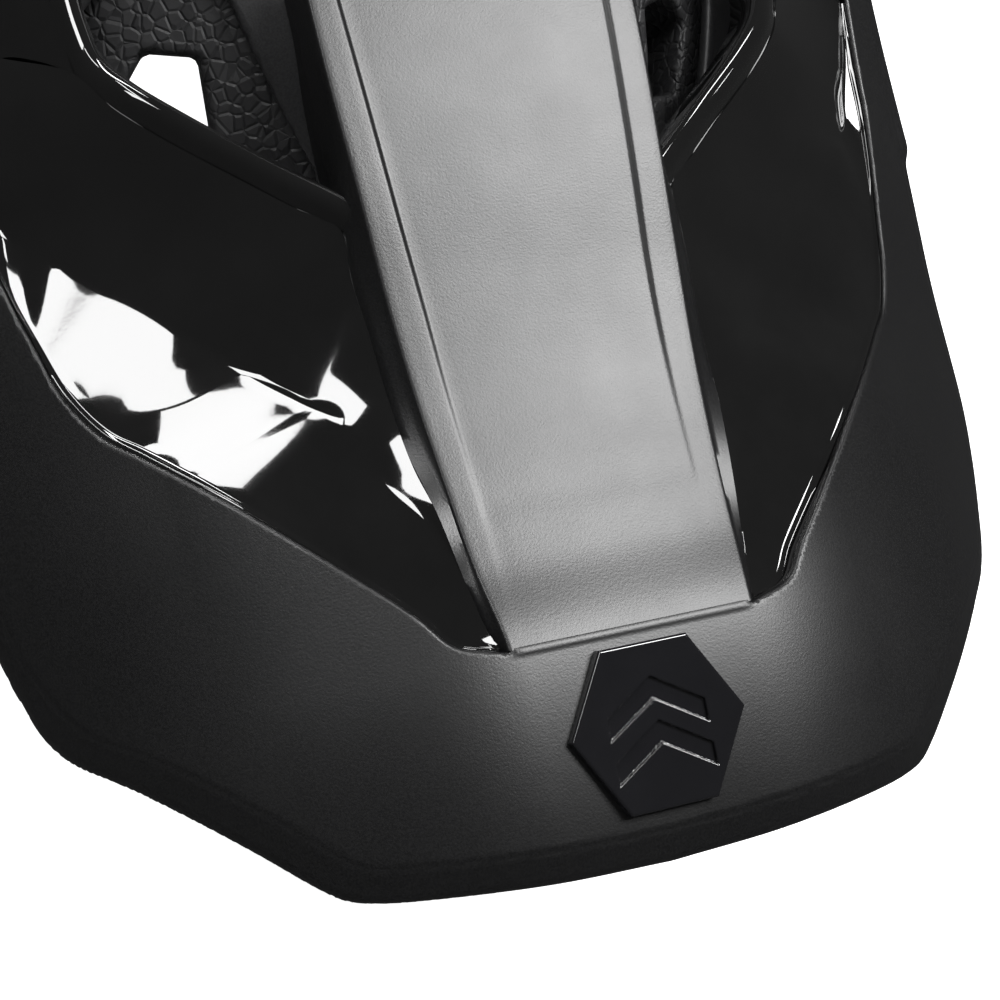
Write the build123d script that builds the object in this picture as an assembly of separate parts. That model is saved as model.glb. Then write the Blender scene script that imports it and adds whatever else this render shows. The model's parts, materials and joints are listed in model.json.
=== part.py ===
"""Trail cycling helmet: foam liner, two-part shell, tilting three-pronged visor, dial cradle and webbing.

Frame: +Z up, the wearer faces -Y, +X is the wearer's left. The helmet stands on its rim at Z = 0 and
the finished parts are moved so that the origin is the bottom centre of the whole object's box.
Millimetres throughout.
"""

import os
from math import atan2, degrees, sqrt

from build123d import *

os.makedirs("parts", exist_ok=True)

# --- Driving dimensions ---------------------------------------------------------------------------
SHELL_HALF_WIDTH = 97.0
SHELL_FRONT = 125.0  # waist to brow
SHELL_REAR = 146.0  # waist to nape
SHELL_RISE = 112.0  # waist to crown
WAIST_Z = 56.0  # height of the widest section over the table
SKIN = 2.0  # moulded outer shell
FOAM_GAP = 0.3  # bond line between shell and foam

HEAD_HALF_WIDTH = 76.0
HEAD_FRONT = 97.0
HEAD_REAR = 106.0
HEAD_RISE = 88.0
PAD_THICK = 6.5
PAD_GAP = 0.5

NOTCH_HALF_WIDTH = 36.0  # opening in the nape rim that leaves room for the fit dial
NOTCH_TOP = 44.0

VISOR_SLOPE = 12.0  # degrees, rising towards the rear
VISOR_Y = -172.0  # front of the raised centre rib
VISOR_Z = 136.0
VISOR_THICK = 3.5
VISOR_HALF_WIDTH = 92.6
NOSE_REACH = 37.0  # plate in front of the rib
NOSE_DROOP = 4.7
TONGUE_REACH = 116.0  # rear end of the centre rib, clear of the shell over the whole tilt
ARCH_RATE = 0.00785  # fall of the plate per squared millimetre beyond ARCH_START
ARCH_START = 18.6
SIDE_LIFT_START = 64.0
SIDE_LIFT = 0.105  # rise of the outer edge per millimetre towards the rear
INLAY_THICK = 2.0

PIVOT_Y = -20.0  # visor hinge line
PIVOT_Z = 72.0
ARM_INNER_X = 97.4
ARM_THICK = 3.0
ARM_LEAN = 0.13  # inward lean of the arm per millimetre of height
ARM_END_R = 12.0
KNOB_R = 9.0
SCREW_R = 3.0
RUNNING_GAP = 0.3
WASHER_THICK = 0.8

BAND_Z = 28.0  # middle height of the fit band
BAND_HEIGHT = 11.0
BAND_THICK = 1.6
BAND_HALF_WIDTH = 67.0
BAND_FRONT = 85.0
BAND_REAR = 97.0
BAND_EYE = (-54.6, -47.0)  # vertical hinge of the right-hand band; the other is its mirror image
TONGUE_Y = 92.0
TONGUE_END = 8.0
TONGUE_HEIGHT = 3.2
PINION_R = 4.0
DIAL_R = 13.0
DIAL_Y = 108.6  # middle of the dial's thickness
CRADLE_PIVOT = (97.0, 86.0)  # Y and Z of the cradle's swing axis

STRAP_WIDTH = 15.0
STRAP_THICK = 1.5
CAM_PIN = (-25.6, 41.0)  # hinge of the right-hand divider cam
STRAP_BASE = 0.5  # the webbing stands on edge this far above the table
BIG = 500.0

LEFT_SIDE = Plane.YZ  # mirror plane between the two sides


# --- Helpers --------------------------------------------------------------------------------------
def mirrored(shape):
    """The same shape on the other side of the helmet."""
    return mirror(shape, about=LEFT_SIDE)


def egg(half_width, front, rear, rise):
    """Two half ellipsoids that share their widest section, with their poles at brow and nape."""
    size = 100.0
    base = (Align.CENTER, Align.CENTER, Align.MIN)
    halves = []
    for reach, turn in ((front, 90), (rear, -90)):
        dome = Rot(turn, 0, 0) * Sphere(size, arc_size1=0, arc_size2=90, align=base)
        halves.append(scale(dome, by=(half_width / size, reach / size, rise / size)))
    return Pos(0, 0, WAIST_Z) * (halves[0] + halves[1])


def outer_egg(inset):
    """The shell's outer surface pulled in by inset."""
    return egg(SHELL_HALF_WIDTH - inset, SHELL_FRONT - inset, SHELL_REAR - inset, SHELL_RISE - inset)


def head_egg(inset):
    """The head cavity pulled in by inset."""
    return egg(HEAD_HALF_WIDTH - inset, HEAD_FRONT - inset, HEAD_REAR - inset, HEAD_RISE - inset)


def side_prism(points, radius):
    """A rounded side-view outline of Y and Z points, extruded across the whole helmet."""
    outline = FilletPolyline(*points, radius=radius, close=True)
    return extrude(Plane.YZ * make_face(outline), amount=BIG, both=True)


def block(x_range, y_range, z_range):
    """An axis-aligned box from its limits."""
    size = [high - low for low, high in (x_range, y_range, z_range)]
    middle = [(high + low) / 2 for low, high in (x_range, y_range, z_range)]
    return Pos(*middle) * Box(*size)


def rod(x, y, z, radius, length, direction):
    """A round bar centred on a point, along direction."""
    return Plane((x, y, z), z_dir=direction) * Cylinder(radius, length)


def shell_frame(x, y):
    """Plane on the shell over X and Y, its Z axis along the outward normal."""
    reach = SHELL_FRONT if y < 0 else SHELL_REAR
    rise = SHELL_RISE * sqrt(1 - (x / SHELL_HALF_WIDTH) ** 2 - (y / reach) ** 2)
    normal = Vector(x / SHELL_HALF_WIDTH**2, y / reach**2, rise / SHELL_RISE**2)
    across = Vector(0, 1, 0).cross(normal)
    return Plane((x, y, WAIST_Z + rise), x_dir=across, z_dir=normal)


# --- Rim, belt line and vents ---------------------------------------------------------------------
def rim_cutter():
    """Everything below the rim: brow arch, temple lobes, ear arches and nape lobes."""
    points = [(-210, 36), (-120, 34), (-90, 26), (-72, 0), (-44, 0), (-22, 26), (16, 27), (44, 0)]
    points += [(210, 0), (210, -90), (-210, -90)]
    notch = Plane.XZ * RectangleRounded(2 * NOTCH_HALF_WIDTH, 2 * NOTCH_TOP, 14)
    return side_prism(points, 9) + extrude(notch, amount=-BIG)


def belt_region(lift):
    """The part of the shell below the belt line, raised by lift."""
    line = [(-150, 70), (-92, 58), (-40, 41), (24, 47), (88, 43), (160, 62)]
    curve = Spline(*[(y, z + lift) for y, z in line])
    rest = Polyline((160, 62 + lift), (160, -80), (-150, -80), (-150, 70 + lift))
    return extrude(Plane.YZ * make_face(curve + rest), amount=BIG, both=True)


def vents():
    """Rounded slots through shell and foam, square to the surface."""
    slots = [
        (45, -70, 27, 50),  # under the visor's windows
        (30, 8, 20, 62),
        (66, 22, 17, 64),
        (42, 88, 22, 46),
        (80, -34, 13, 34),
        (74, 88, 14, 34),
        (26, -106, 30, 17),  # brow
    ]
    cutters = []
    for x, y, width, length in slots:
        outline = RectangleRounded(width, length, 0.42 * min(width, length))
        slot = extrude(shell_frame(x, y) * outline, amount=58, both=True)
        cutters += [slot, mirrored(slot)]
    return cutters


# --- Visor ----------------------------------------------------------------------------------------
RIB = [  # distance back, top height, half width of the top, half width at the foot, foot height
    (-NOSE_REACH, 0.0, 18.0, 20.0, 0.0),
    (-16.0, 0.0, 19.0, 21.0, 0.0),
    (0.0, 0.0, 21.4, 22.4, -1.5),
    (33.0, -4.2, 24.2, 27.5, -6.4),
    (52.0, -4.4, 25.6, 28.4, -7.4),
    (72.0, -2.6, 26.6, 29.4, -7.2),
    (100.0, -0.4, 28.2, 29.4, -5.0),
    (TONGUE_REACH, 0.3, 28.5, 29.4, -4.4),
]

OUTER_LINE = [(22.4, 0, -1.5), (33.5, 7.9, -3.2), (54.1, 30, -12.6), (71.3, 48.1, -22.8)]
OUTER_LINE += [(79.2, 70.4, -26.2), (82.6, 86.4, -28.6), (84.6, 112, -28.6)]
CREASE_LINE = [(22.4, 0, -1.5), (27.5, 33, -6.4), (41.2, 47.2, -12.7), (56.6, 63, -18.8)]
CREASE_LINE += [(73.2, 79.3, -25.2), (79, 87, -28.2), (81.8, 100, -28.8)]
INNER_LINE = [(28.4, 52, -7.4), (29.4, 72, -7.2), (41.8, 82.3, -9.8), (53, 91.8, -11.4)]
INNER_LINE += [(64.3, 106.6, -16.2), (73.5, 113.5, -21)]
LIP_OUTER = [*INNER_LINE[1:5], (65.5, 119, -16.6)]
LIP_INNER = [(29.5, 77.5, -6.0), (38.9, 85.7, -8.6), (50, 95.2, -10.4), (60.3, 109.5, -14.2)]
LIP_INNER += [(61.5, 119, -14.8)]


def visor_to_helmet(shape):
    """Moves a shape from the visor's own frame (across, back, up) onto the helmet."""
    return Pos(0, VISOR_Y, VISOR_Z) * Rot(VISOR_SLOPE, 0, 0) * shape


def droop(u):
    """Fall of the nose in front of the rib."""
    return -NOSE_DROOP * (min(u, 0) / NOSE_REACH) ** 2


def plate_height(x, u):
    """Height of the visor's arched plate."""
    fall = ARCH_RATE * max(x - ARCH_START, 0) ** 2
    side = max((x - SIDE_LIFT_START) / (VISOR_HALF_WIDTH - SIDE_LIFT_START), 0) ** 1.5
    return droop(u) - fall + SIDE_LIFT * side * max(u, 0)


def visor_section(u, top, half_top, half_foot, foot):
    """Closed cross-section of the rib and plate at a distance back along the visor."""
    half = [(0, top + droop(u)), (half_top, top + droop(u)), (half_foot, foot + droop(u))]
    half += [(x, plate_height(x, u)) for x in (half_foot + 2, 45, 58, 70, 82, VISOR_HALF_WIDTH)]
    upper = [(-x, w) for x, w in reversed(half[1:])] + half
    lower = [(x, w - VISOR_THICK) for x, w in reversed(upper)]
    outline = Polyline(*upper, *lower, close=True)
    return Plane((0, u, 0), x_dir=(1, 0, 0), z_dir=(0, -1, 0)) * make_face(outline)


def plan_prism(points):
    """A plan-view outline in the visor's frame, extruded up and down."""
    return extrude(make_face(Polyline(*[(x, u) for x, u, *_ in points], close=True)), amount=90, both=True)


def visor_outline():
    """Plan of the visor: blunt nose, chamfered corners, two arms and the centre tongue."""
    half = [(0, -NOSE_REACH), (28, -35.8), (48, -32.4), (54, -29), (64, -19.5), (83.4, -0.4), (86.4, 4.4)]
    half += [(90.4, 18), (VISOR_HALF_WIDTH, 42), (VISOR_HALF_WIDTH, 118), (74, 125), (65.5, 119)]
    half += [(65.5, 110), (29, 110)]
    half += [(27, TONGUE_REACH - 1.5), (20, TONGUE_REACH), (0, TONGUE_REACH)]
    return plan_prism(half + [(-x, u) for x, u in reversed(half[1:-1])])


def inlay_outline():
    """Plan of one gloss inlay, used to open the plate for it."""
    return [*OUTER_LINE, CREASE_LINE[-1], *reversed(INNER_LINE), CREASE_LINE[1]]


def faceted_panel(strips, thickness):
    """Closed solid of constant depth under triangulated strips between pairs of point lines."""
    down = Vector(0, 0, -thickness)
    faces, borders = [], {}
    for first, second in strips:
        for a, b, c, d in zip(first, first[1:], second[1:], second):
            for corners in ((a, b, c), (a, c, d)):
                if len(set(corners)) < 3:
                    continue
                top = [Vector(*p) for p in corners]
                faces.append(Face(Wire.make_polygon(top)))
                faces.append(Face(Wire.make_polygon([p + down for p in top])))
                for p, q in zip(corners, corners[1:] + corners[:1]):
                    key = frozenset((p, q))
                    borders[key] = borders.get(key, 0) + 1
    for edge, count in borders.items():
        if count == 1:
            p, q = (Vector(*point) for point in edge)
            faces.append(Face(Wire.make_polygon([p, q, q + down, p + down])))
    return Solid(Shell(faces))


def visor_arm():
    """Flat arm of one side, leaning in towards the plate, with its round hinge end."""
    foot = (ARM_INNER_X, PIVOT_Y, PIVOT_Z)
    side = Plane(foot, x_dir=(0, 1, 0), z_dir=(1, 0, ARM_LEAN))
    outline = [(-11, -5), (-50, 41), (-64, 45), (-64, 49), (-32, 58), (-20, 46), (11, 5)]
    blade = make_face(Polyline(*outline, close=True)) + Circle(ARM_END_R)
    arm = extrude(side * blade, amount=ARM_THICK)
    return arm - rod(ARM_INNER_X, PIVOT_Y, PIVOT_Z, SCREW_R + RUNNING_GAP, 30, (1, 0, 0))


def badge_frame():
    """Plane of the badge pocket on the drooping nose."""
    tilt = degrees(atan2(NOSE_DROOP, NOSE_REACH))
    return Pos(0, -16, -2.4) * Rot(tilt, 0, 0)


def make_visor():
    """Visor body, its gloss inlays, window lips and badge."""
    body = loft([visor_section(*row) for row in RIB], ruled=True) & visor_outline()
    window = [*LIP_OUTER, (65.5, 140), (29.4, 140)]
    for outline in (inlay_outline(), window):
        body -= plan_prism(outline)
        body -= plan_prism([(-x, u) for x, u, *_ in outline])
    badge = badge_frame() * extrude(RegularPolygon(16, 6), amount=1.8)
    body -= badge_frame() * extrude(RegularPolygon(16.2, 6), amount=9)
    inlay = faceted_panel([(OUTER_LINE, CREASE_LINE), (CREASE_LINE[1:], INNER_LINE)], INLAY_THICK)
    lip = faceted_panel([(LIP_OUTER, LIP_INNER)], INLAY_THICK)
    arm = visor_arm()
    nodes = {"visor": visor_to_helmet(body) + arm + mirrored(arm), "visor_badge": visor_to_helmet(badge)}
    for name, piece in (("visor_inlay", inlay), ("window_lip", lip)):
        nodes[name + "_left"] = visor_to_helmet(piece)
        nodes[name + "_right"] = visor_to_helmet(mirrored(piece))
    return nodes


def make_pivot():
    """Threaded insert, washer and thumb knob of the left hinge."""
    insert_out = 93.6
    axis = (1, 0, 0)
    bore = rod(90, PIVOT_Y, PIVOT_Z, SCREW_R + 0.05, 40, axis)
    insert = rod(insert_out - 7, PIVOT_Y, PIVOT_Z, 6, 14, axis) - bore
    arm_out = ARM_INNER_X + ARM_THICK + 1.3
    washer = rod(arm_out + WASHER_THICK / 2, PIVOT_Y, PIVOT_Z, 7.5, WASHER_THICK, axis)
    washer -= rod(arm_out, PIVOT_Y, PIVOT_Z, SCREW_R + 0.2, 10, axis)
    head_in = arm_out + WASHER_THICK
    head = rod(head_in + 2.2, PIVOT_Y, PIVOT_Z, KNOB_R, 4.4, axis)
    for turn in range(12):
        spot = Plane((head_in, PIVOT_Y, PIVOT_Z), z_dir=axis) * Rot(0, 0, 30 * turn) * Pos(KNOB_R + 0.5, 0, 0)
        head -= spot * Cylinder(1.3, 20)
    head -= Pos(head_in + 4.4, PIVOT_Y, PIVOT_Z) * Box(2.6, 12, 2)
    shank = rod((head_in + 84) / 2, PIVOT_Y, PIVOT_Z, SCREW_R, head_in - 84, axis)
    return insert, washer, head + shank


# --- Cradle ---------------------------------------------------------------------------------------
def band_outline():
    """Plan of the right-hand band from its eye to the start of its rack tongue."""
    thick = BAND_THICK
    ring = Sketch()
    for reach, side in ((BAND_FRONT, Align.MAX), (BAND_REAR, Align.MIN)):
        outer = Ellipse(BAND_HALF_WIDTH, reach)
        inner = Ellipse(BAND_HALF_WIDTH - thick, reach - thick)
        ring += (outer - inner) & Rectangle(BIG, BIG, align=(Align.CENTER, side))
    window = Pos(-22, BAND_EYE[1]) * Rectangle(BIG, BIG, align=(Align.MAX, Align.MIN))
    return ring & window


def make_band():
    """Right-hand fit band with its hinge eye and its upper rack tongue."""
    strip = extrude(Pos(0, 0, BAND_Z - BAND_HEIGHT / 2) * band_outline(), amount=BAND_HEIGHT)
    eye = Pos(*BAND_EYE, BAND_Z) * Cylinder(4, BAND_HEIGHT)
    neck = block((-57.5, -54.6), (-47, -41.5), (BAND_Z - BAND_HEIGHT / 2, BAND_Z + BAND_HEIGHT / 2))
    return strip + eye + neck - Pos(*BAND_EYE, BAND_Z) * Cylinder(2.1, 30)


def make_tongue(low):
    """Rack tongue that reaches into the dial housing at height low."""
    half = BAND_THICK / 2
    middle = TONGUE_Y - half
    return block((-24, -TONGUE_END), (middle - half, middle + half), (low, low + TONGUE_HEIGHT))


def make_anchor():
    """Right-hand hinge fork of the fit band, set in the foam."""
    x, y = BAND_EYE
    half = BAND_HEIGHT / 2 + 0.4
    fork = Pos(x, y, BAND_Z) * Cylinder(2.0, 2 * half)
    for sign in (-1, 1):
        fork += Pos(x, y, BAND_Z + sign * (half + 0.75)) * Cylinder(4.4, 1.5)
    back = block((x - 9, x - 5.5), (y - 5, y + 5), (BAND_Z - half - 1.5, BAND_Z + half + 1.5))
    for sign in (-1, 1):
        mid = BAND_Z + sign * (half + 0.75)
        back += block((x - 6, x), (y - 3, y + 3), (mid - 0.75, mid + 0.75))
    return fork + back


def make_cradle():
    """Dial housing with its slot, swing arm, dial knob, pinion and pads."""
    low, high = 15.0, 41.0
    housing = Pos(0, 94, BAND_Z) * Box(44, 18, high - low)
    housing = fillet(housing.edges().filter_by(Axis.Y), 8)
    housing -= block((-30, 30), (86.6, 98.6), (19, 37))
    for side in ((-30, -11), (11, 30)):  # the bands' curved ends pass here as they close
        housing -= block(side, (80, 98.6), (20, 36))
    housing -= rod(0, 100, BAND_Z, 2.6, 20, (0, 1, 0))
    top_y, top_z = CRADLE_PIVOT
    arm_side = Polyline((92, 38), (97, 60), (94.6, top_z), (97.4, top_z), (99.6, 60), (96, 38), close=True)
    arm = extrude(Plane.YZ * make_face(arm_side), amount=9, both=True)
    arm += rod(0, top_y - 1, top_z, 3.2, 18, (1, 0, 0))
    arm -= rod(0, top_y - 1, top_z, 1.6, 30, (1, 0, 0))
    arm -= block((-30, 30), (80, 110), (0, high))
    knob = rod(0, DIAL_Y, BAND_Z, DIAL_R, 10, (0, 1, 0))
    for turn in range(18):
        spot = Pos(0, DIAL_Y, BAND_Z) * Rot(0, 20 * turn, 0) * Pos(DIAL_R + 0.6, 0, 0)
        knob -= spot * Rot(90, 0, 0) * Cylinder(1.4, 20)
    knob += rod(0, 101, BAND_Z, 2.4, 6, (0, 1, 0))
    pinion = rod(0, 92.6, BAND_Z, 2.4, 10.8, (0, 1, 0))
    for turn in range(10):
        tooth = Pos(PINION_R - 1.2, 0, 0) * Box(2.4, 8, 1.0)
        pinion += Pos(0, 92.2, BAND_Z) * Rot(0, 36 * turn, 0) * tooth
    pin = rod(0, top_y - 1, top_z, 1.5, 26, (1, 0, 0))
    fork = block((-16, 16), (top_y + 2.6, top_y + 7), (top_z - 6, top_z + 6))
    for sign in (-1, 1):
        fork += block(sorted((sign * 9.6, sign * 13)), (top_y - 4.2, top_y + 3), (top_z - 4, top_z + 4))
    fork += pin
    pad = block((-17, 17), (80.8, 84.7), (17, 39))
    return housing, arm, knob, pinion, fork, pad


# --- Webbing --------------------------------------------------------------------------------------
def ribbon(points):
    """Webbing standing on edge along a plan route."""
    route = Spline(*points)
    return extrude(Pos(0, 0, STRAP_BASE) * trace(route, STRAP_THICK), amount=STRAP_WIDTH)


def make_webbing():
    """Straps of the right-hand side, with the divider that gathers them."""
    front = ribbon([(-48.5, -40), (-46, -18), (-50, 8), (-43, 28), (-32, 40)])
    rear = ribbon([(-46.4, 45), (-41.6, 52.4), (-37, 52), (-32, 47.5)])
    low, high = STRAP_BASE, STRAP_BASE + STRAP_WIDTH + 2
    divider = block((-31, -28.4), (38, 50), (low, high))
    for floor in (low, high - 2):
        divider += block((-28.6, -23), (38.4, 44), (floor, floor + 2))
    divider += Pos(*CAM_PIN, (low + high) / 2) * Cylinder(1.0, high - low)
    cam = Pos(*CAM_PIN, (low + high) / 2) * Cylinder(2.3, high - low - 4.8)
    cam += block((-27.6, -23.8), (CAM_PIN[1], 54), (low + 2.4, high - 2.4))
    cam -= Pos(*CAM_PIN, 0) * Cylinder(1.1, 60)
    return front, rear, divider, cam


def make_plug_anchors():
    """Four strap plugs set in the rim's foam."""
    front = block((-62, -49.6), (-43, -35), (4, 13))
    rear = block((-60, -47.6), (41, 49), (4, 13))
    pair = [front, rear]
    return Compound(pair + [mirrored(piece) for piece in pair])


def make_buckle():
    """Side-standing centre-push buckle: socket, plug, button and return spring."""
    x, top = -27.0, STRAP_BASE + 19.0
    socket = fillet(block((x - 5, x + 5), (-30, -6), (STRAP_BASE, top)).edges().filter_by(Axis.X), 2.5)
    socket -= block((x - 3.4, x + 3.4), (-40, -11), (STRAP_BASE + 2.5, top - 2.5))
    socket -= block((x, x + 9), (-25, -15), (6, 14))
    plug = fillet(block((x - 5, x + 5), (-44, -30.4), (STRAP_BASE, top)).edges().filter_by(Axis.X), 2.5)
    plug += block((x - 2.8, x - 0.8), (-31, -13), (STRAP_BASE + 4, top - 4))
    button = block((x + 2.6, x + 5.8), (-24.7, -15.3), (6.3, 13.7))
    button += block((x + 2.4, x + 3.1), (-26, -14), (4.6, 15.4))
    return socket, plug, button


def make_chin_straps():
    """The two halves of the chin strap, folded forward inside the rim."""
    x = -27.0
    right = ribbon([(-26, 37.6), (-24.5, 16), (x, -5.6)])
    left = ribbon([(x, -44.4), (-21, -57), (0, -63.2), (21, -56), (28, -25), (25, 10), (26, 37.6)])
    return right, left


# --- Assembly -------------------------------------------------------------------------------------
def make_shells_and_foam(recesses):
    """Upper and lower shell skins and the foam liner."""
    rim = rim_cutter()
    slots = vents()
    skin = outer_egg(0) - outer_egg(SKIN) - rim
    foam = outer_egg(SKIN + FOAM_GAP) - head_egg(0) - rim
    for slot in slots:
        skin -= slot
        foam -= slot
    for recess in recesses:
        foam -= recess
    pivot_hole = rod(0, PIVOT_Y, PIVOT_Z, 6.4, BIG, (1, 0, 0))
    skin -= pivot_hole
    upper = skin - belt_region(FOAM_GAP)
    lower = skin & belt_region(0)
    return upper, lower, foam


def pad(box):
    """A comfort pad lining the head cavity inside box."""
    return (head_egg(PAD_GAP) - head_egg(PAD_GAP + PAD_THICK)) & box


def recess_for(shape, room):
    """Clearance block around a set-in piece."""
    size = shape.bounding_box()
    limits = [(size.min.X - room, size.max.X + room), (size.min.Y - room, size.max.Y + room)]
    return block(*limits, (size.min.Z - room, size.max.Z + room))


def build():
    """All nodes by name."""
    nodes = make_visor()
    insert, washer, knob = make_pivot()
    nodes["pivot_insert_left"], nodes["pivot_insert_right"] = insert, mirrored(insert)
    nodes["pivot_washers"] = Compound([washer, mirrored(washer)])
    nodes["pivot_knob_left"], nodes["pivot_knob_right"] = knob, mirrored(knob)

    band, anchor = make_band(), make_anchor()
    upper_tongue = make_tongue(BAND_Z + PINION_R + 0.8)
    lower_tongue = make_tongue(BAND_Z - PINION_R - 0.8 - TONGUE_HEIGHT)
    nodes["fit_band_right"] = band + upper_tongue
    nodes["fit_band_left"] = mirrored(band + lower_tongue)
    nodes["band_anchor_right"], nodes["band_anchor_left"] = anchor, mirrored(anchor)
    housing, arm, dial, pinion, fork, rear_pad = make_cradle()
    nodes.update(dial_housing=housing, cradle_arm=arm, dial_knob=dial - pinion, dial_pinion=pinion)
    nodes.update(cradle_fork=fork, cradle_pad=rear_pad)

    front, rear, divider, cam = make_webbing()
    sides = {"strap_front": front, "strap_rear": rear, "divider": divider, "divider_cam": cam}
    for name, piece in sides.items():
        nodes[name + "_right"], nodes[name + "_left"] = piece, mirrored(piece)
    nodes["strap_plugs"] = make_plug_anchors()
    nodes["chin_strap_right"], nodes["chin_strap_left"] = make_chin_straps()
    nodes["buckle_socket"], nodes["buckle_plug"], nodes["buckle_button"] = make_buckle()
    nodes["chin_pad"] = block((-22, 22), (-69.5, -64.2), (STRAP_BASE, STRAP_BASE + 20))

    nodes["brow_pad"] = pad(block((-50, 50), (-110, -40), (46, 70)))
    nodes["crown_pad"] = pad(block((-9, 9), (-62, 62), (100, 160)))
    nodes["side_pad_right"] = pad(block((-90, -20), (-36, 4), (66, 96)))
    nodes["side_pad_left"] = mirrored(nodes["side_pad_right"])

    insert_bore = rod(0, PIVOT_Y, PIVOT_Z, 6.3, BIG, (1, 0, 0)) - block((-76, 76), (-90, 90), (0, 200))
    recesses = [insert_bore, recess_for(fork, 0.4)]
    recesses += [recess_for(nodes[name], 0.4) for name in ("band_anchor_right", "band_anchor_left")]
    recesses += [recess_for(piece, 0.3) for piece in nodes["strap_plugs"].solids()]
    nodes["shell_upper"], nodes["shell_lower"], nodes["foam_liner"] = make_shells_and_foam(recesses)
    return nodes


def main():
    """Moves every node so that the origin is the bottom centre of the whole, and writes it."""
    nodes = build()
    nose = nodes["visor"].bounding_box().min.Y
    shift = Pos(0, -(nose + SHELL_REAR) / 2, 0)
    print("shift", shift.position)
    for name, shape in nodes.items():
        solids = (shift * shape).solids()
        export_step(solids[0] if len(solids) == 1 else Compound(solids), f"parts/{name}.step")


main()
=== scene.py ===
"""Cycling helmet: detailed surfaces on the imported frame. Lengths in the helpers are millimetres."""

import json
import math

import bmesh
import bpy
import numpy as np
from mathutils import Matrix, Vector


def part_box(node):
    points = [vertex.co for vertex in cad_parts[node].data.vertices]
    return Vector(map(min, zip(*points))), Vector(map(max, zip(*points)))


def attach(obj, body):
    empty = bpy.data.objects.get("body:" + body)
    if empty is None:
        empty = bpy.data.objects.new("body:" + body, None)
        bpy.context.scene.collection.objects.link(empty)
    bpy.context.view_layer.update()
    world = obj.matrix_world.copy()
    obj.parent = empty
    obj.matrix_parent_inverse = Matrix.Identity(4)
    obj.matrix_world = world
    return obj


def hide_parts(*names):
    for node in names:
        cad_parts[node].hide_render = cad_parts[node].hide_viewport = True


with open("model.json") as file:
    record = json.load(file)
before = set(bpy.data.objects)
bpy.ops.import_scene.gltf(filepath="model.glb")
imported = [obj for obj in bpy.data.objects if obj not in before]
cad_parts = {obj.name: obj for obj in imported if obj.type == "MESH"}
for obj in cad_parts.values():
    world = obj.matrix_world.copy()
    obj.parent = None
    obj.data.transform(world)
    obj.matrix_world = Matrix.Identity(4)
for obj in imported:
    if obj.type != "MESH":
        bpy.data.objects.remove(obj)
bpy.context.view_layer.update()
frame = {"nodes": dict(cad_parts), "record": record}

import openvdb as vdb
from mathutils import Matrix, Vector

NODES = frame["nodes"]
MM = 0.001


def node_middle(name):
    """Centre of a CAD node's box in millimetres."""
    low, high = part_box(name)
    return [(a + b) / 2 / MM for a, b in zip(low, high)]


PIVOT_Y, PIVOT_Z = -20.0, 72.0  # hinge line in the design frame
SHIFT = node_middle("pivot_insert_left")[1] - PIVOT_Y  # design frame to row frame, along Y
SLOPE = math.radians(12)
VISOR_Y, VISOR_Z = -172.0, 136.0


# --- Curves and fields ----------------------------------------------------------------------------
def spline(points, per=12):
    """Dense smooth curve through points of any dimension."""
    p = np.array(points, float)
    t = np.r_[0, np.cumsum(np.sqrt(np.linalg.norm(np.diff(p, axis=0), axis=1)))]
    slope = np.gradient(p, t, axis=0)
    s = np.linspace(0, 1, per, endpoint=False)[:, None]
    out = []
    for i in range(len(p) - 1):
        h = t[i + 1] - t[i]
        near = (2 * s**3 - 3 * s**2 + 1) * p[i] + (s**3 - 2 * s**2 + s) * h * slope[i]
        out.append(near + (3 * s**2 - 2 * s**3) * p[i + 1] + (s**3 - s**2) * h * slope[i + 1])
    return np.vstack(out + [p[-1:]])


def rounded(points, reach, closed=True):
    """Polygon with each corner replaced by a short arc that starts reach from it."""
    p = np.array(points, float)
    out = []
    for i, corner in enumerate(p):
        if not closed and i in (0, len(p) - 1):
            out.append(corner)
            continue
        before, after = p[i - 1] - corner, p[(i + 1) % len(p)] - corner
        cut = min(reach, 0.45 * np.linalg.norm(before), 0.45 * np.linalg.norm(after))
        a = corner + before / np.linalg.norm(before) * cut
        b = corner + after / np.linalg.norm(after) * cut
        out += [(1 - s) ** 2 * a + 2 * s * (1 - s) * corner + s**2 * b for s in np.linspace(0, 1, 7)]
    return np.array(out)


def polygon(x, y, points):
    """Signed distance to a closed polygon, negative inside."""
    x, y = np.broadcast_arrays(x, y)
    best, inside = np.full(x.shape, 1e9), np.zeros(x.shape, bool)
    for (x0, y0), (x1, y1) in zip(points, np.roll(points, -1, 0)):
        ex, ey = x1 - x0, y1 - y0
        if ex * ex + ey * ey < 1e-12:
            continue
        wx, wy = x - x0, y - y0
        t = np.clip((wx * ex + wy * ey) / (ex * ex + ey * ey), 0, 1)
        best = np.minimum(best, (wx - ex * t) ** 2 + (wy - ey * t) ** 2)
        if ey:
            inside ^= ((y0 > y) != (y1 > y)) & (x < ex * (y - y0) / ey + x0)
    return np.where(inside, -1, 1) * np.sqrt(best)


def meet(a, b, r):
    """Intersection of two fields, its edge rounded by r."""
    return np.minimum(np.maximum(a, b), -r) + np.hypot(np.maximum(a + r, 0), np.maximum(b + r, 0))


def join(a, b, k):
    """Union of two fields with a soft blend of size k."""
    h = np.clip(0.5 + 0.5 * (b - a) / k, 0, 1)
    return b * (1 - h) + a * h - k * h * (1 - h)


def ramp(v, low, high):
    """Smooth step from 0 at low to 1 at high."""
    t = np.clip((v - low) / (high - low), 0, 1)
    return t * t * (3 - 2 * t)


def to_row(points):
    """Design-frame millimetres to row-frame metres."""
    return (np.asarray(points, float) + (0, SHIFT, 0)) * MM


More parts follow.
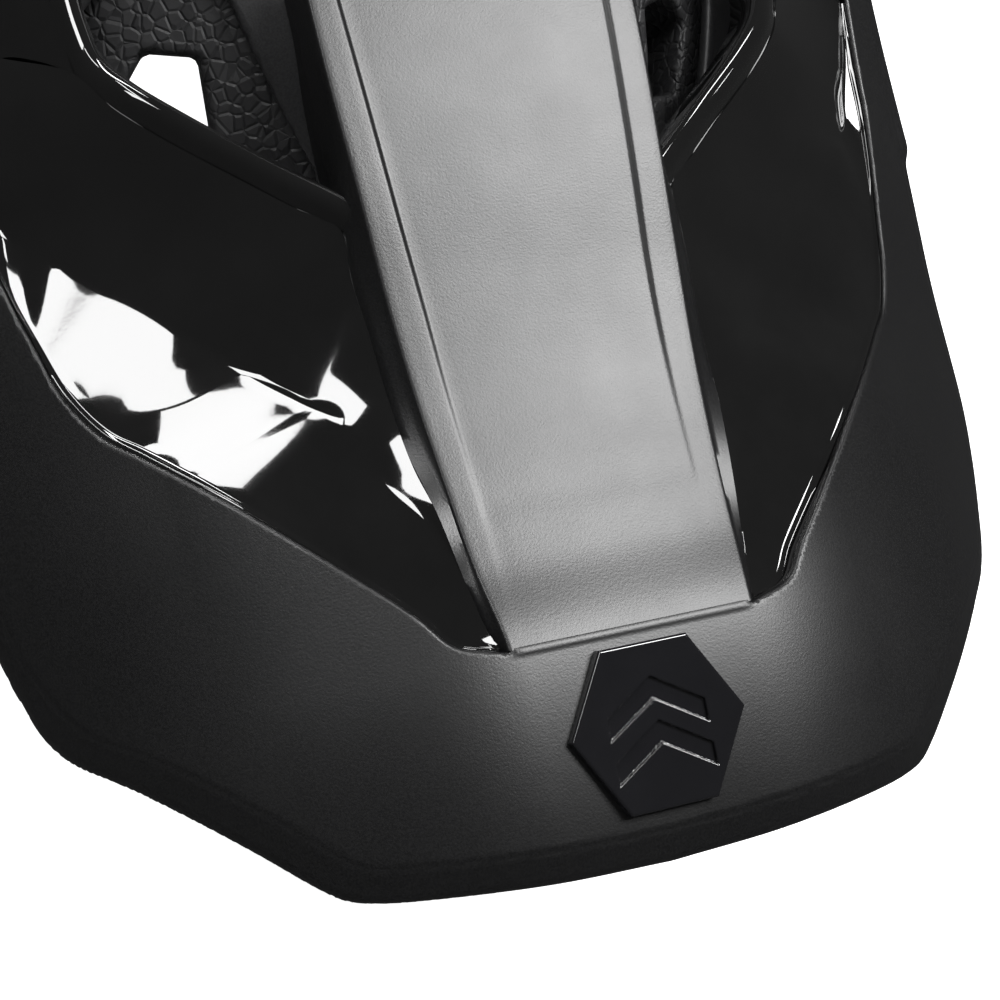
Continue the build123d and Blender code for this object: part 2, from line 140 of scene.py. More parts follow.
def visor_to_design(points):
    """Visor frame (across, back, up) to the design frame."""
    x, u, w = np.asarray(points, float).T
    c, s = math.cos(SLOPE), math.sin(SLOPE)
    return np.stack([x, VISOR_Y + u * c - w * s, VISOR_Z + u * s + w * c], 1)


def gradient(field, p, eps):
    """Central differences of a field at points."""
    out = np.empty_like(p)
    for k in range(3):
        d = np.zeros(3)
        d[k] = eps
        out[:, k] = (field(*(p + d).T) - field(*(p - d).T)) / (2 * eps)
    return out


def isosurface(field, low, high, step, symmetric=True):
    """Points, faces and normals of a field's zero level; a symmetric one is worked out for X >= 0 only."""
    x = np.arange(0, high[0] + step, step) if symmetric else np.arange(low[0], high[0] + step, step)
    y, z = (np.arange(low[k], high[k] + step, step) for k in (1, 2))
    d = field(x[:, None, None], y[None, :, None], z[None, None, :]).astype(np.float32)
    d = np.array(np.broadcast_to(d, (len(x), len(y), len(z))))
    start = np.array([x[0], y[0], z[0]])
    if symmetric:
        d = np.concatenate([d[:0:-1], d])
        start[0] = -x[-1]
    for edge in (d[0], d[-1], d[:, 0], d[:, -1], d[:, :, 0], d[:, :, -1]):
        edge[...] = np.maximum(edge, 0.2)
    grid = vdb.FloatGrid(3.0 * step)
    grid.copyFromArray(np.ascontiguousarray(d))
    points, tris, quads = grid.convertToPolygons(isovalue=0.0, adaptivity=0.0)
    p = points.astype(float) * step + start
    fixed = (lambda a, b, c: field(np.abs(a), b, c)) if symmetric else field
    for _ in range(3):
        g = gradient(fixed, p, 0.3 * step)
        size = np.maximum((g**2).sum(1, keepdims=True), 0.15)
        move = fixed(*p.T)[:, None] * g / size
        p -= np.clip(move, -0.5 * step, 0.5 * step)
    normal = gradient(fixed, p, 0.25 * step)
    normal /= np.maximum(np.linalg.norm(normal, axis=1, keepdims=True), 1e-9)
    faces = quads.tolist() + tris.tolist()
    corner = p[quads[:, :3]]
    turn = np.cross(corner[:, 1] - corner[:, 0], corner[:, 2] - corner[:, 0])
    if (turn * normal[quads[:, 0]]).sum() < 0:
        faces = [f[::-1] for f in faces]
    return p, faces, normal


# --- Objects --------------------------------------------------------------------------------------
def new_object(name, points, faces, surface, normals=None, sharp=None):
    """Mesh object in the row frame from design-frame points; sharp is an edge angle in degrees."""
    mesh = bpy.data.meshes.new(name)
    mesh.from_pydata(to_row(points).tolist(), [], faces)
    mesh.validate()
    mesh.polygons.foreach_set("use_smooth", [True] * len(mesh.polygons))
    mesh.materials.append(surface)
    obj = bpy.data.objects.new(name, mesh)
    bpy.context.collection.objects.link(obj)
    if sharp is not None:
        mesh.set_sharp_from_angle(angle=math.radians(sharp))
    if normals is not None and len(normals) == len(mesh.vertices):
        mesh.normals_split_custom_set_from_vertices(normals.tolist())
    return obj


def finish_piece(obj, body, slot, *nodes):
    """Hangs the piece on its body's empty and hides the CAD nodes it stands for; the slot argument is not
    used.
    """
    if nodes:
        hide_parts(*nodes)
    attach(obj, body)
    return obj


def grid_faces(rows, cols, offset=0, flip=False):
    """Quads of a rows x cols point grid."""
    faces = []
    for i in range(rows - 1):
        for j in range(cols - 1):
            a = offset + i * cols + j
            quad = (a, a + 1, a + cols + 1, a + cols)
            faces.append(quad[::-1] if flip else quad)
    return faces


def rim_loop(rows, cols):
    """Indices round the border of a point grid, in order."""
    loop = list(range(cols)) + [i * cols + cols - 1 for i in range(1, rows)]
    loop += [(rows - 1) * cols + j for j in range(cols - 2, -1, -1)]
    return loop + [i * cols for i in range(rows - 2, 0, -1)]


def tube(rings, flip=False):
    """Closed solid through equal rings of points."""
    rows, cols = rings.shape[:2]
    faces = []
    for i in range(rows - 1):
        for j in range(cols):
            k = (j + 1) % cols
            faces.append((i * cols + j, i * cols + k, (i + 1) * cols + k, (i + 1) * cols + j))
    first, last = tuple(range(cols)), tuple((rows - 1) * cols + j for j in range(cols))
    faces += [first[::-1], last] if flip else [first, last[::-1]]
    return rings.reshape(-1, 3), faces


def slab(grid, depth):
    """Closed solid under a point grid, with its underside depth lower along the third axis."""
    rows, cols = grid.shape[:2]
    top = grid.reshape(-1, 3)
    bottom = top - (0, 0, depth)
    count = rows * cols
    faces = grid_faces(rows, cols) + grid_faces(rows, cols, count, True)
    rim = rim_loop(rows, cols)
    for a, b in zip(rim, rim[1:] + rim[:1]):
        faces.append((b, a, a + count, b + count))
    return np.vstack([top, bottom]), faces


def combine(*parts):
    """One point list and face list from several."""
    points, faces, base = [], [], 0
    for p, f in parts:
        points.append(p)
        faces += [tuple(k + base for k in face) for face in f]
        base += len(p)
    return np.vstack(points), faces


def clean(obj, distance=0.02):
    """Welds points that coincide, drops empty faces and turns all faces outwards."""
    bm = bmesh.new()
    bm.from_mesh(obj.data)
    bmesh.ops.remove_doubles(bm, verts=bm.verts, dist=distance * MM)
    bmesh.ops.dissolve_degenerate(bm, edges=bm.edges, dist=distance * MM)
    bmesh.ops.recalc_face_normals(bm, faces=bm.faces)
    bm.to_mesh(obj.data)
    bm.free()


def flip_x(points, faces):
    """The same surface on the other side of the helmet."""
    return np.asarray(points) * (-1, 1, 1), [tuple(f[::-1]) for f in faces]


# --- Materials ------------------------------------------------------------------------------------
def material(name):
    """New material with its node tree, output shader and a position source in metres."""
    mat = bpy.data.materials.new(name)
    mat.use_nodes = True
    nodes, links = mat.node_tree.nodes, mat.node_tree.links
    shader = nodes["Principled BSDF"]
    place = nodes.new("ShaderNodeTexCoord")
    return mat, nodes, links, shader, place.outputs["Object"]


def noise(nodes, links, place, scale, detail=3.0, rough=0.5):
    """Noise texture over the object, scale in features per metre."""
    node = nodes.new("ShaderNodeTexNoise")
    node.inputs["Scale"].default_value = scale
    node.inputs["Detail"].default_value = detail
    node.inputs["Roughness"].default_value = rough
    links.new(place, node.inputs["Vector"])
    return node.outputs["Fac"]


def mapped(nodes, links, value, low, high, out_low, out_high):
    """Value moved from one range to another."""
    node = nodes.new("ShaderNodeMapRange")
    for key, v in (("From Min", low), ("From Max", high), ("To Min", out_low), ("To Max", out_high)):
        node.inputs[key].default_value = v
    links.new(value, node.inputs["Value"])
    return node.outputs["Result"]


def tinted(nodes, links, value, dark, light):
    """Colour between two greys or colours."""
    node = nodes.new("ShaderNodeMix")
    node.data_type = "RGBA"
    for socket, colour in (("A", dark), ("B", light)):
        spot = [s for s in node.inputs if s.name == socket and s.type == "RGBA"][0]
        spot.default_value = (*colour, 1)
    links.new(value, node.inputs["Factor"])
    return [s for s in node.outputs if s.type == "RGBA"][0]


def bump(nodes, links, height, strength, distance, before=None):
    """Bump in millimetres, stacked on another."""
    node = nodes.new("ShaderNodeBump")
    node.inputs["Strength"].default_value = strength
    node.inputs["Distance"].default_value = distance * MM
    links.new(height, node.inputs["Height"])
    if before is not None:
        links.new(before, node.inputs["Normal"])
    return node.outputs["Normal"]


def matte_plastic(name, dark, light, rough, grain=2600, grain_depth=0.05, specular=0.5):
    """Satin moulded plastic with a fine spark-eroded grain and a slow change of sheen."""
    mat, nodes, links, shader, place = material(name)
    fine = noise(nodes, links, place, grain, 2, 0.6)
    cloud = noise(nodes, links, place, 24, 4, 0.6)
    colour = tinted(nodes, links, mapped(nodes, links, fine, 0.35, 0.65, 0, 1), dark, light)
    links.new(colour, shader.inputs["Base Color"])
    links.new(mapped(nodes, links, cloud, 0.3, 0.7, rough - 0.03, rough + 0.03), shader.inputs["Roughness"])
    shader.inputs["Specular IOR Level"].default_value = specular
    normal = bump(nodes, links, fine, 0.5, grain_depth)
    links.new(normal, shader.inputs["Normal"])
    return mat


def gloss_plastic(name, colour, rough=0.03, ripple=0.0, ripple_scale=40):
    """Lacquered plastic: clear coat, smudges, faint orange peel and, where asked for, slow ripples."""
    mat, nodes, links, shader, place = material(name)
    peel = noise(nodes, links, place, 900, 2)
    slow = noise(nodes, links, place, ripple_scale, 2, 0.45)
    smear = noise(nodes, links, place, 60, 5, 0.7)
    light = tuple(1.5 * c + 0.002 for c in colour)
    links.new(tinted(nodes, links, smear, colour, light), shader.inputs["Base Color"])
    links.new(mapped(nodes, links, smear, 0.35, 0.75, rough, rough + 0.035), shader.inputs["Roughness"])
    shader.inputs["Coat Weight"].default_value = 1.0
    shader.inputs["Coat Roughness"].default_value = 0.02
    normal = bump(nodes, links, peel, 0.05, 0.03)
    if ripple:
        normal = bump(nodes, links, slow, 1.0, ripple, normal)
    links.new(normal, shader.inputs["Normal"])
    return mat


VISOR_MATTE = matte_plastic(
    "visor_matte", (0.004, 0.004, 0.0043), (0.0095, 0.0095, 0.0098), 0.36, specular=0.55
)
GLOSS_BLACK = gloss_plastic("gloss_black", (0.004, 0.004, 0.004), 0.03, 0.03, 42)
BADGE_GLOSS = gloss_plastic("badge_gloss", (0.005, 0.005, 0.006), 0.05)


# --- Visor ----------------------------------------------------------------------------------------
RIB_TOP = [(-60, 0, 21.0), (-20, 0, 21.2), (0, 0, 21.4), (14, -2.7, 22.8), (29, -4.1, 23.9)]
RIB_TOP += [(43, -4.65, 25.0), (58.6, -3.9, 26.1), (77, -2.1, 27.1), (94, -0.75, 28.0)]
RIB_TOP += [(110, 0, 28.4), (150, 1.0, 28.6)]
RIB_FOOT = [(-1, 21.8, 0), (0, 22.0, -1.4), (1.7, 22.8, -2.3), (11.6, 24.3, -3.5), (23.3, 25.9, -4.2)]
RIB_FOOT += [(37.2, 28.1, -6.8), (44.6, 28.4, -7.5), (54.9, 29.0, -7.3), (64.2, 29.6, -7.6)]
RIB_FOOT += [(71.6, 29.5, -7.2), (90, 29.4, -6.6), (104, 29.4, -5.0), (150, 29.4, -4.4)]
GROOVE = [(20, 18.7), (30, 19.0), (41, 19.4), (56.7, 20.1), (72.5, 21.2), (90, 22.3), (110, 23.4), (150, 25)]
# Stations of the gloss inlay from its front tip: outer edge, valley crease, inner edge (across, back, up).
STATIONS = [
    ((21.4, 0.0), (21.9, 0.3, -1.2), (21.9, 0.3, -1.2)),
    ((29.3, 2.6), (22.9, 3.5, -2.4), (22.9, 3.5, -2.4)),
    ((33.5, 7.9), (24.3, 11.6, -3.5), (24.3, 11.6, -3.5)),
    ((43.5, 18.8), (27.2, 22.4, -4.9), (25.9, 23.3, -4.2)),
    ((50.4, 26.2), (32.2, 30.2, -7.4), (27.5, 32.0, -5.9)),
    ((58.2, 34.4), (36.0, 41.2, -9.2), (28.4, 44.6, -7.5)),
    ((62.8, 39.2), (41.2, 47.2, -12.7), (29.0, 54.9, -7.3)),
    ((67.0, 43.6), (47.5, 53.8, -16.3), (29.7, 64.2, -7.6)),
    ((71.3, 48.1), (56.6, 63.0, -18.8), (29.8, 72.2, -6.8)),
    ((75.5, 56.4), (65.0, 71.2, -22.0), (36.0, 77.4, -8.5)),
    ((77.9, 65.6), (73.2, 79.3, -25.2), (43.9, 84.1, -10.0)),
    ((79.4, 71.4), (76.3, 82.5, -27.2), (50.0, 89.2, -10.9)),
    ((80.8, 78.0), (78.7, 86.3, -28.6), (55.6, 94.2, -11.9)),
    ((82.2, 84.8), (79.5, 90.0, -28.6), (60.1, 99.1, -13.3)),
    ((83.1, 94.5), (81.5, 96.5, -28.4), (64.3, 106.6, -16.2)),
    ((84.6, 108.2), (84.0, 108.0, -28.0), (73.5, 113.5, -24.0)),
]
OUTER = [s[0] for s in STATIONS]
OUTLINE_FRONT = [(0, -37.2), (20, -36.4), (38, -34.4), (47, -32.8), (51.5, -31.2), (55, -28.4)]
OUTLINE_FRONT += [(63, -20.5), (78, -6.0), (84.0, -0.6), (87.2, 4.2), (89.2, 10), (91.3, 18)]
OUTLINE_FRONT += [(93.1, 30), (93.5, 42)]
NOSE_DROOP, NOSE_REACH = 4, 34
ARCH_RATE, ARCH_START = 0.00785, 18.6  # fall of the plate per squared millimetre beyond the start
SIDE_LIFT, SIDE_START, SIDE_WIDTH = 0.105, 64, 27.6  # rise of the outer edge towards the rear
CORNER_LIFT = 2.6  # rise of the plate towards the front corners
RIM_DROP = 0.36  # slope of the chamfer round the rim
RIM_LINE = 0.18  # depth of the fine line inside the chamfer
SKIRT = 2.7  # thickness of the plate
RIB_SINK = 0.9  # depth of the plate under the rib, which is a piece of its own
TONGUE_END = 115.4
TABLE_STEP, TABLE_FRONT = 0.25, 48
STEP_PROFILE = ((-0.75, 0), (-0.5, 0.03), (-0.25, 0.16), (0, 0.5), (0.25, 0.84), (0.5, 0.97), (0.75, 1))


def droop(u):
    """Fall of the nose in front of the rib."""
    return -NOSE_DROOP * (np.minimum(u, 0) / NOSE_REACH) ** 2


def plate(a, u):
    """Height of the arched plate at distance a from the centre line."""
    lift = SIDE_LIFT * (np.maximum(a - SIDE_START, 0) / SIDE_WIDTH) ** 1.5 * np.maximum(u, 0)
    lift = lift + CORNER_LIFT * ramp(a, 44, 86) * (1 - ramp(u, 24, 60))
    return droop(u) - ARCH_RATE * np.maximum(a - ARCH_START, 0) ** 2 + lift


def column(rows, k, u):
    """Smooth interpolation of one column of a table keyed by its first column."""
    dense = spline(rows)
    return np.interp(u, dense[:, 0], dense[:, k])


def visor_tables():
    """Plan tables of the visor: top height, slope length, distances to its outline and openings."""
    a = np.arange(0, 125, TABLE_STEP)[:, None]
    u = np.arange(-TABLE_FRONT, 145, TABLE_STEP)[None, :]
    rib, half = column(RIB_TOP, 1, u), column(RIB_TOP, 2, u)
    foot_x, foot = column(RIB_FOOT, 1, u), column(RIB_FOOT, 2, u)
    flank = rib + (foot - rib) * np.clip((a - half) / (foot_x - half), 0, 1)
    outer = np.interp(u, spline(OUTER)[:, 1], spline(OUTER)[:, 0])
    inner = np.where(a < (foot_x + outer) / 2, flank, plate(a, u))
    top = np.where(u < 0, plate(a, u), inner)
    bead = 0.22 * np.exp(-(((u + 0.4) / 0.45) ** 2)) * (1 - ramp(a, 19, 22))
    top = top + bead  # where the rib meets the nose
    side = [(93.6, 60), (93.6, 118), (88, 127), (74, 128), (65.5, 124), (65.5, 110), (29.4, 110)]
    side += [(29.4, TONGUE_END - 5), (26, TONGUE_END - 1), (20, TONGUE_END), (0, TONGUE_END)]
    half_outline = np.vstack([spline(OUTLINE_FRONT, 6), rounded(side, 3, False)])
    outline = polygon(a, u, np.vstack([half_outline, half_outline[::-1] * (-1, 1)]))
    chamfer = 4.8 - 2.6 * ramp(u, -8, 22)
    outboard = outline + chamfer
    top = top - RIM_DROP * np.maximum(outboard, 0) - RIM_LINE * np.exp(-((outboard / 0.45) ** 2))
    under_rib = (a < foot_x - 0.4) & (u > 0.6)
    top = np.where(under_rib, top - RIB_SINK, top)
    gx, gu = np.gradient(top, TABLE_STEP)
    slope = np.sqrt(1 + np.minimum(gx**2 + gu**2, 6))
    foot_line = spline(RIB_FOOT[1:], 4)[:, 1::-1] - (0.7, 0)
    opening = np.vstack([spline(OUTER, 6), [(85.2, 125), (86, 180), (29.4, 180)], foot_line[::-1]])
    return top, slope, outline, polygon(a, u, opening)


TABLES = visor_tables()


def look(table, a, u):
    """Bilinear value of a plan table."""
    i = np.clip(np.asarray(a) / TABLE_STEP, 0, table.shape[0] - 1.001)
    j = np.clip((np.asarray(u) + TABLE_FRONT) / TABLE_STEP, 0, table.shape[1] - 1.001)
    i, j = np.broadcast_arrays(i, j)
    i0, j0 = i.astype(int), j.astype(int)
    fi, fj = i - i0, j - j0
    near = table[i0, j0] * (1 - fj) + table[i0, j0 + 1] * fj
    far = table[i0 + 1, j0] * (1 - fj) + table[i0 + 1, j0 + 1] * fj
    return near * (1 - fi) + far * fi


ARM = rounded([(-12, -4), (-50, 38), (-66, 42), (-66, 46), (-32, 54), (-19, 44), (12, 4)], 4)


def screw_hole(a, u, w):
    """Distance to the hinge's screw hole, positive outside it."""
    c, s = math.cos(SLOPE), math.sin(SLOPE)
    y = VISOR_Y + u * c - w * s - PIVOT_Y
    z = VISOR_Z + u * s + w * c - PIVOT_Z
    return np.maximum(np.hypot(y, z) - 3.3, 90 - a)


def visor_field(a, u, w):
    """Visor plate with its window, joined to a side arm with a screw hole."""
    top, slope, outline, opening = (look(t, a, u) for t in TABLES)
    edge = np.maximum(outline, -opening)
    outside = meet((w - top) / slope, outline, 1.0)
    outside = meet(outside, -opening, 0.9)
    hollow = meet(w - (top - 2.9), edge + 3.2, 1.5)
    body = meet(np.maximum(outside, -hollow), (top - SKIRT) - w, 0.9)
    c, s = math.cos(SLOPE), math.sin(SLOPE)
    y = VISOR_Y + u * c - w * s - PIVOT_Y
    z = VISOR_Z + u * s + w * c - PIVOT_Z
    arm = np.minimum(polygon(y, z, ARM), np.hypot(y, z) - 12.5)
    across = (a - 97.4 + 0.13 * z) * 0.9916
    arm = meet(arm, np.abs(across - 1.5) - 1.5, 1.3)
    return np.maximum(join(body, arm, 4.0), -screw_hole(a, u, w))


def visor_to_design_normals(n):
    c, s = math.cos(SLOPE), math.sin(SLOPE)
    x, u, w = n.T
    return np.stack([x, u * c - w * s, u * s + w * c], 1)


def build_visor():
    p, faces, normal = isosurface(visor_field, (0, -42, -110), (106, 175, 8), 0.7)
    obj = new_object("visor_shell", visor_to_design(p), faces, VISOR_MATTE, visor_to_design_normals(normal))
    finish_piece(obj, "visor", "visor_matte", "visor")


def rib_part():
    """Centre rib as a close-set structured solid, so its edges and steps stay crisp."""
    last = [TONGUE_END - back for back in (1.6, 0.8, 0.25, 0)]
    rows = np.r_[-0.1, 0.35, 0.8, np.arange(2, TONGUE_END - 2.0, 1.5), last]
    drops = dict(zip(rows[-4:], (0.12, 0.45, 0.95, 2.0)))
    grid = []
    for u in rows:
        rib, half = column(RIB_TOP, 1, u), column(RIB_TOP, 2, u)
        foot_x, foot = column(RIB_FOOT, 1, u), column(RIB_FOOT, 2, u)
        edge = column(GROOVE, 1, u)
        step = float(0.42 * ramp(u, 22, 78) + 0.08 * ramp(u, 20, 24))
        crown = lambda a: 0.5 * (1 - (a / half) ** 2) * ramp(u, -2, 20)
        line = [(a, rib + crown(a) - step) for a in edge * np.array([0, 0.15, 0.3, 0.45, 0.6, 0.75, 0.88])]
        for da, share in STEP_PROFILE:
            line.append((edge + da, rib + crown(edge) - step * (1 - share)))
        line += [(a, rib + crown(a)) for a in (edge + (half - edge) * 0.4, edge + (half - edge) * 0.7)]
        start = (half + 0.12, rib - 0.45)
        line += [(half - 0.6, rib), (half - 0.3, rib - 0.05), (half - 0.05, rib - 0.2), start]
        for t in (0.3, 0.6, 1):
            line.append((start[0] + (foot_x - start[0]) * t, start[1] + (foot - start[1]) * t))
        under = foot - 3.2 + 1.8 * float(ramp(u, 92, 108)) if u > 4 else foot - 1
        line += [(foot_x + 0.15, foot - 0.8), (foot_x + 0.2, under)]
        line = [(a, w - drops.get(u, 0)) for a, w in line]
        whole = [(-a, w) for a, w in reversed(line[1:])] + line
        grid.append([(a, u, w) for a, w in whole])
    grid = np.array(grid)
    top = grid.reshape(-1, 3)
    low = grid.copy()
    low[:, :, 2] -= 1.6
    low[:, 1:-1, 2] = np.minimum(low[:, 1:-1, 2], grid[:, 1:-1, 2] - 1.6)
    count_u, count_a = grid.shape[:2]
    count = count_u * count_a
    faces = grid_faces(count_u, count_a, 0, True) + grid_faces(count_u, count_a, count)
    rim = rim_loop(count_u, count_a)
    for a, b in zip(rim, rim[1:] + rim[:1]):
        faces.append((a, b, b + count, a + count))
    return np.vstack([top, low.reshape(-1, 3)]), faces


def build_rib():
    """Centre rib, which runs back as a tongue over the shell."""
    points, faces = rib_part()
    obj = new_object("visor_rib", visor_to_design(points), faces, VISOR_MATTE)
    clean(obj, 0.001)
    obj.data.set_sharp_from_angle(angle=math.radians(50))
    finish_piece(obj, "visor", "visor_matte", "visor")


def across_points(outer, crease, inner):
    """Cross-section of the gloss inlay: tucked edge, outer facet, valley, inner facet, tucked edge."""
    def line(p, q, steps):
        return [p + (q - p) * s for s in steps]

    out = outer - crease
    length = max(np.linalg.norm(out), 1e-6)
    unit = out / length
    flat = unit * (1, 1, 0)
    soft = min(0.9, 0.35 * length)
    size = soft / 0.9
    points = [outer + flat * 1.8 - (0, 0, 2.2), outer + flat * 0.8 - (0, 0, 1.3)]
    for inward, lift in ((-0.35, -0.2), (0.05, 0.22), (0.45, 0.42), (0.85, 0.36), (1.25, 0.14), (1.6, 0.02)):
        points.append(outer - unit * inward * size + (0, 0, lift * size))
    points += line(outer - unit * 2.0 * size, crease + unit * soft, np.linspace(0, 1, 12))
    back = inner - crease
    reach = np.linalg.norm(back)
    soft_in = min(0.9, 0.35 * reach)
    toward = back / max(reach, 1e-6)
    a, b = crease + unit * soft, crease + toward * soft_in
    points += [(1 - s) ** 2 * a + 2 * s * (1 - s) * crease + s**2 * b for s in (0.25, 0.5, 0.75)]
    points += line(b, inner, np.linspace(0, 1, 13))
    points += [inner + toward * (1, 1, 0) * 0.8 - (0, 0, 0.8), inner + toward * (1, 1, 0) * 1.6 - (0, 0, 3)]
    return points


def inlay_parts():
    """Gloss inlay of the left side: main valley and the facet behind its branch."""
    sunk = (0.6, 1.8, 2.2, 1.2, 0.5) + (0,) * len(OUTER)  # the front tip lies deeper
    outer = spline([(x, u, float(plate(x, u)) - 1.3 - dip) for (x, u), dip in zip(OUTER, sunk)], 10)
    crease, inner = (spline([s[k] for s in STATIONS], 10) for k in (1, 2))
    rows = np.array([across_points(*row) for row in zip(outer, crease, inner)])
    front = [(64.3, 106.6, -16.2), (68.4, 110.7, -20.0), (73.5, 113.5, -24.0), (79, 111.5, -26.3)]
    front += [(85.3, 108.5, -28.2)]
    rear = [(66, 126, -17.4), (70, 126, -20.5), (74.5, 126, -23.6), (79, 126, -25.8), (86, 126, -28.4)]
    front, rear = spline(front, 6), spline(rear, 6)
    back = np.array([front + (rear - front) * s for s in np.linspace(0, 1, 8)])
    main = slab(rows[::-1], 1.8)
    return main, slab(back, 1.8)


LIP_PATH = [(26.5, 69.3, -6.2), (29.8, 72.2, -6.8), (41.8, 82.3, -9.8), (53, 91.8, -11.4)]
LIP_PATH += [(60.1, 99.1, -13.3), (64.3, 106.6, -16.2), (65.6, 114, -17.0), (66, 126, -17.5)]
LIP_PROFILE = [(-0.6, -1.2), (0, -0.25), (0.6, 0.3), (1.4, 1.2), (2.2, 1.9), (3.0, 2.25), (3.8, 2.3)]
LIP_PROFILE += [(4.6, 1.95), (5.2, 1.3), (5.6, 0.4), (5.8, -0.8), (5.9, -3.0), (5.9, -7.5), (4.4, -7.5)]
LIP_PROFILE += [(3.8, -2), (1, -2.2)]


def lip_part():
    """Rolled flange of the left window."""
    path = spline(LIP_PATH, 12)
    along = np.gradient(path, axis=0)[:, :2]
    along /= np.linalg.norm(along, axis=1, keepdims=True)
    side = np.stack([-along[:, 1], along[:, 0]], 1)  # towards the window
    profile = np.array(LIP_PROFILE)
    return tube(np.array([[(*(p[:2] + s * n), p[2] + h) for s, h in profile] for p, n in zip(path, side)]))


def build_inlays():
    for sign, name in ((1, "left"), (-1, "right")):
        pieces = {"visor_inlay_" + name: combine(*inlay_parts()), "window_lip_" + name: lip_part()}
        for node, (points, faces) in pieces.items():
            if sign < 0:
                points, faces = flip_x(points, faces)
            title = node.replace("visor_", "gloss_") + "_gloss"
            obj = new_object(title, visor_to_design(points), faces, GLOSS_BLACK)
            clean(obj)
            obj.data.set_sharp_from_angle(angle=math.radians(38))
            finish_piece(obj, "visor", "gloss_black", node)


def hexagon(radius):
    turns = [math.radians(60 * k) for k in range(6)]
    return [(radius * math.cos(turn), radius * math.sin(turn)) for turn in turns]


def badge_field(x, u, w):
    """Hexagon plate with a recessed double chevron."""
    body = meet(polygon(x, u, hexagon(15.2)), np.abs(w + 0.2) - 1.4, 0.5)
    cut = np.inf
    for offset in (-3.6, 3.4):
        v = u - offset + 0.62 * np.abs(x) - 2.5
        cut = np.minimum(cut, np.maximum(np.abs(v) * 0.85 - 1.5, np.abs(x) - 8.5))
    return meet(body, -np.maximum(cut, 0.45 - w), 0.25)


def build_badge():
    p, faces, normal = isosurface(badge_field, (0, -18, -4), (18, 18, 4), 0.22)
    tilt = math.atan2(NOSE_DROOP, NOSE_REACH) * 0.95
    c, s = math.cos(tilt), math.sin(tilt)
    x, u, w = p.T
    local = np.stack([x, -16 + u * c - w * s, -0.55 + u * s + w * c], 1)
    nx, nu, nw = normal.T
    turned = np.stack([nx, nu * c - nw * s, nu * s + nw * c], 1)
    normals = visor_to_design_normals(turned)
    obj = new_object("badge_chevron", visor_to_design(local), faces, BADGE_GLOSS, normals)
    finish_piece(obj, "visor", "badge_gloss", "visor_badge")


build_visor()
build_rib()
build_inlays()
build_badge()


# --- Shell, foam and pads -------------------------------------------------------------------------
SHELL_HALF, SHELL_FRONT, SHELL_REAR, SHELL_RISE, WAIST = 97.0, 125.0, 146.0, 112.0, 56.0
HEAD_HALF, HEAD_FRONT, HEAD_REAR, HEAD_RISE = 76.0, 97.0, 106.0, 88.0
RIM = rounded([(-210, 36), (-120, 34), (-90, 26), (-72, 0), (-44, 0), (-22, 26), (16, 27), (44, 0)], 7, False)
RIM = np.vstack([RIM, [(210, 0), (210, -90), (-210, -90)]])
BELT = spline([(-150, 70), (-92, 58), (-40, 41), (24, 47), (88, 43), (160, 62)])
# Vents over X and Y of the shell: width, length.
VENTS = [(45, -70, 27, 50), (30, 8, 20, 62), (66, 22, 17, 64), (42, 88, 22, 46), (80, -34, 13, 34)]
VENTS += [(74, 88, 14, 34), (26, -106, 30, 17)]
SKIN_DEPTH, FOAM_INSET = 3.1, 3.2
SHELL_BORE, FOAM_BORE = 6.4, 6.3  # radii round the visor's pivot
# Section of the slanted air duct under the visor's window, and its lean for each millimetre down.
DUCT_Z, DUCT_LEAN = 135, (0.317, 0.622)
AIR_CHANNELS = ((12, 19.5), (46, 55))  # spans across the head
CHANNEL_DEPTH, CHANNEL_FOOT = 4.5, 92
PLUG_POCKETS = [((49.6, -43, 4), (62, -35, 13)), ((47.6, 41, 4), (60, 49, 13))]
PAD_HALF, PAD_INSET = 3.1, 3.75
FRONT_DUCT = np.array([(49.9, -57.1), (40.9, -59.1), (43.0, -78.0), (52.0, -78.0), (54.8, -63.3)])


def egg(x, y, z, half, front, rear, rise):
    """Near-distance to two half ellipsoids that share their widest section."""
    reach = np.where(y < 0, front, rear)
    dz = z - WAIST
    q = np.sqrt((x / half) ** 2 + (y / reach) ** 2 + (dz / rise) ** 2) + 1e-6
    g = np.sqrt((x / half**2) ** 2 + (y / reach**2) ** 2 + (dz / rise**2) ** 2) + 1e-6
    return q * (q - 1) / g


def outer_egg(x, y, z, inset):
    """Outside of the shell, moved in by inset."""
    return egg(x, y, z, SHELL_HALF - inset, SHELL_FRONT - inset, SHELL_REAR - inset, SHELL_RISE - inset)


def head_egg(x, y, z, inset):
    """Head cavity, moved in by inset."""
    return egg(x, y, z, HEAD_HALF - inset, HEAD_FRONT - inset, HEAD_REAR - inset, HEAD_RISE - inset)


def rim_cut(x, y, z):
    """Negative below the rim and in the nape notch."""
    q = np.hypot(np.maximum(np.abs(x) - 22, 0), np.maximum(np.abs(z) - 30, 0)) - 14
    return np.minimum(polygon(y, z, RIM), np.maximum(q, -y))


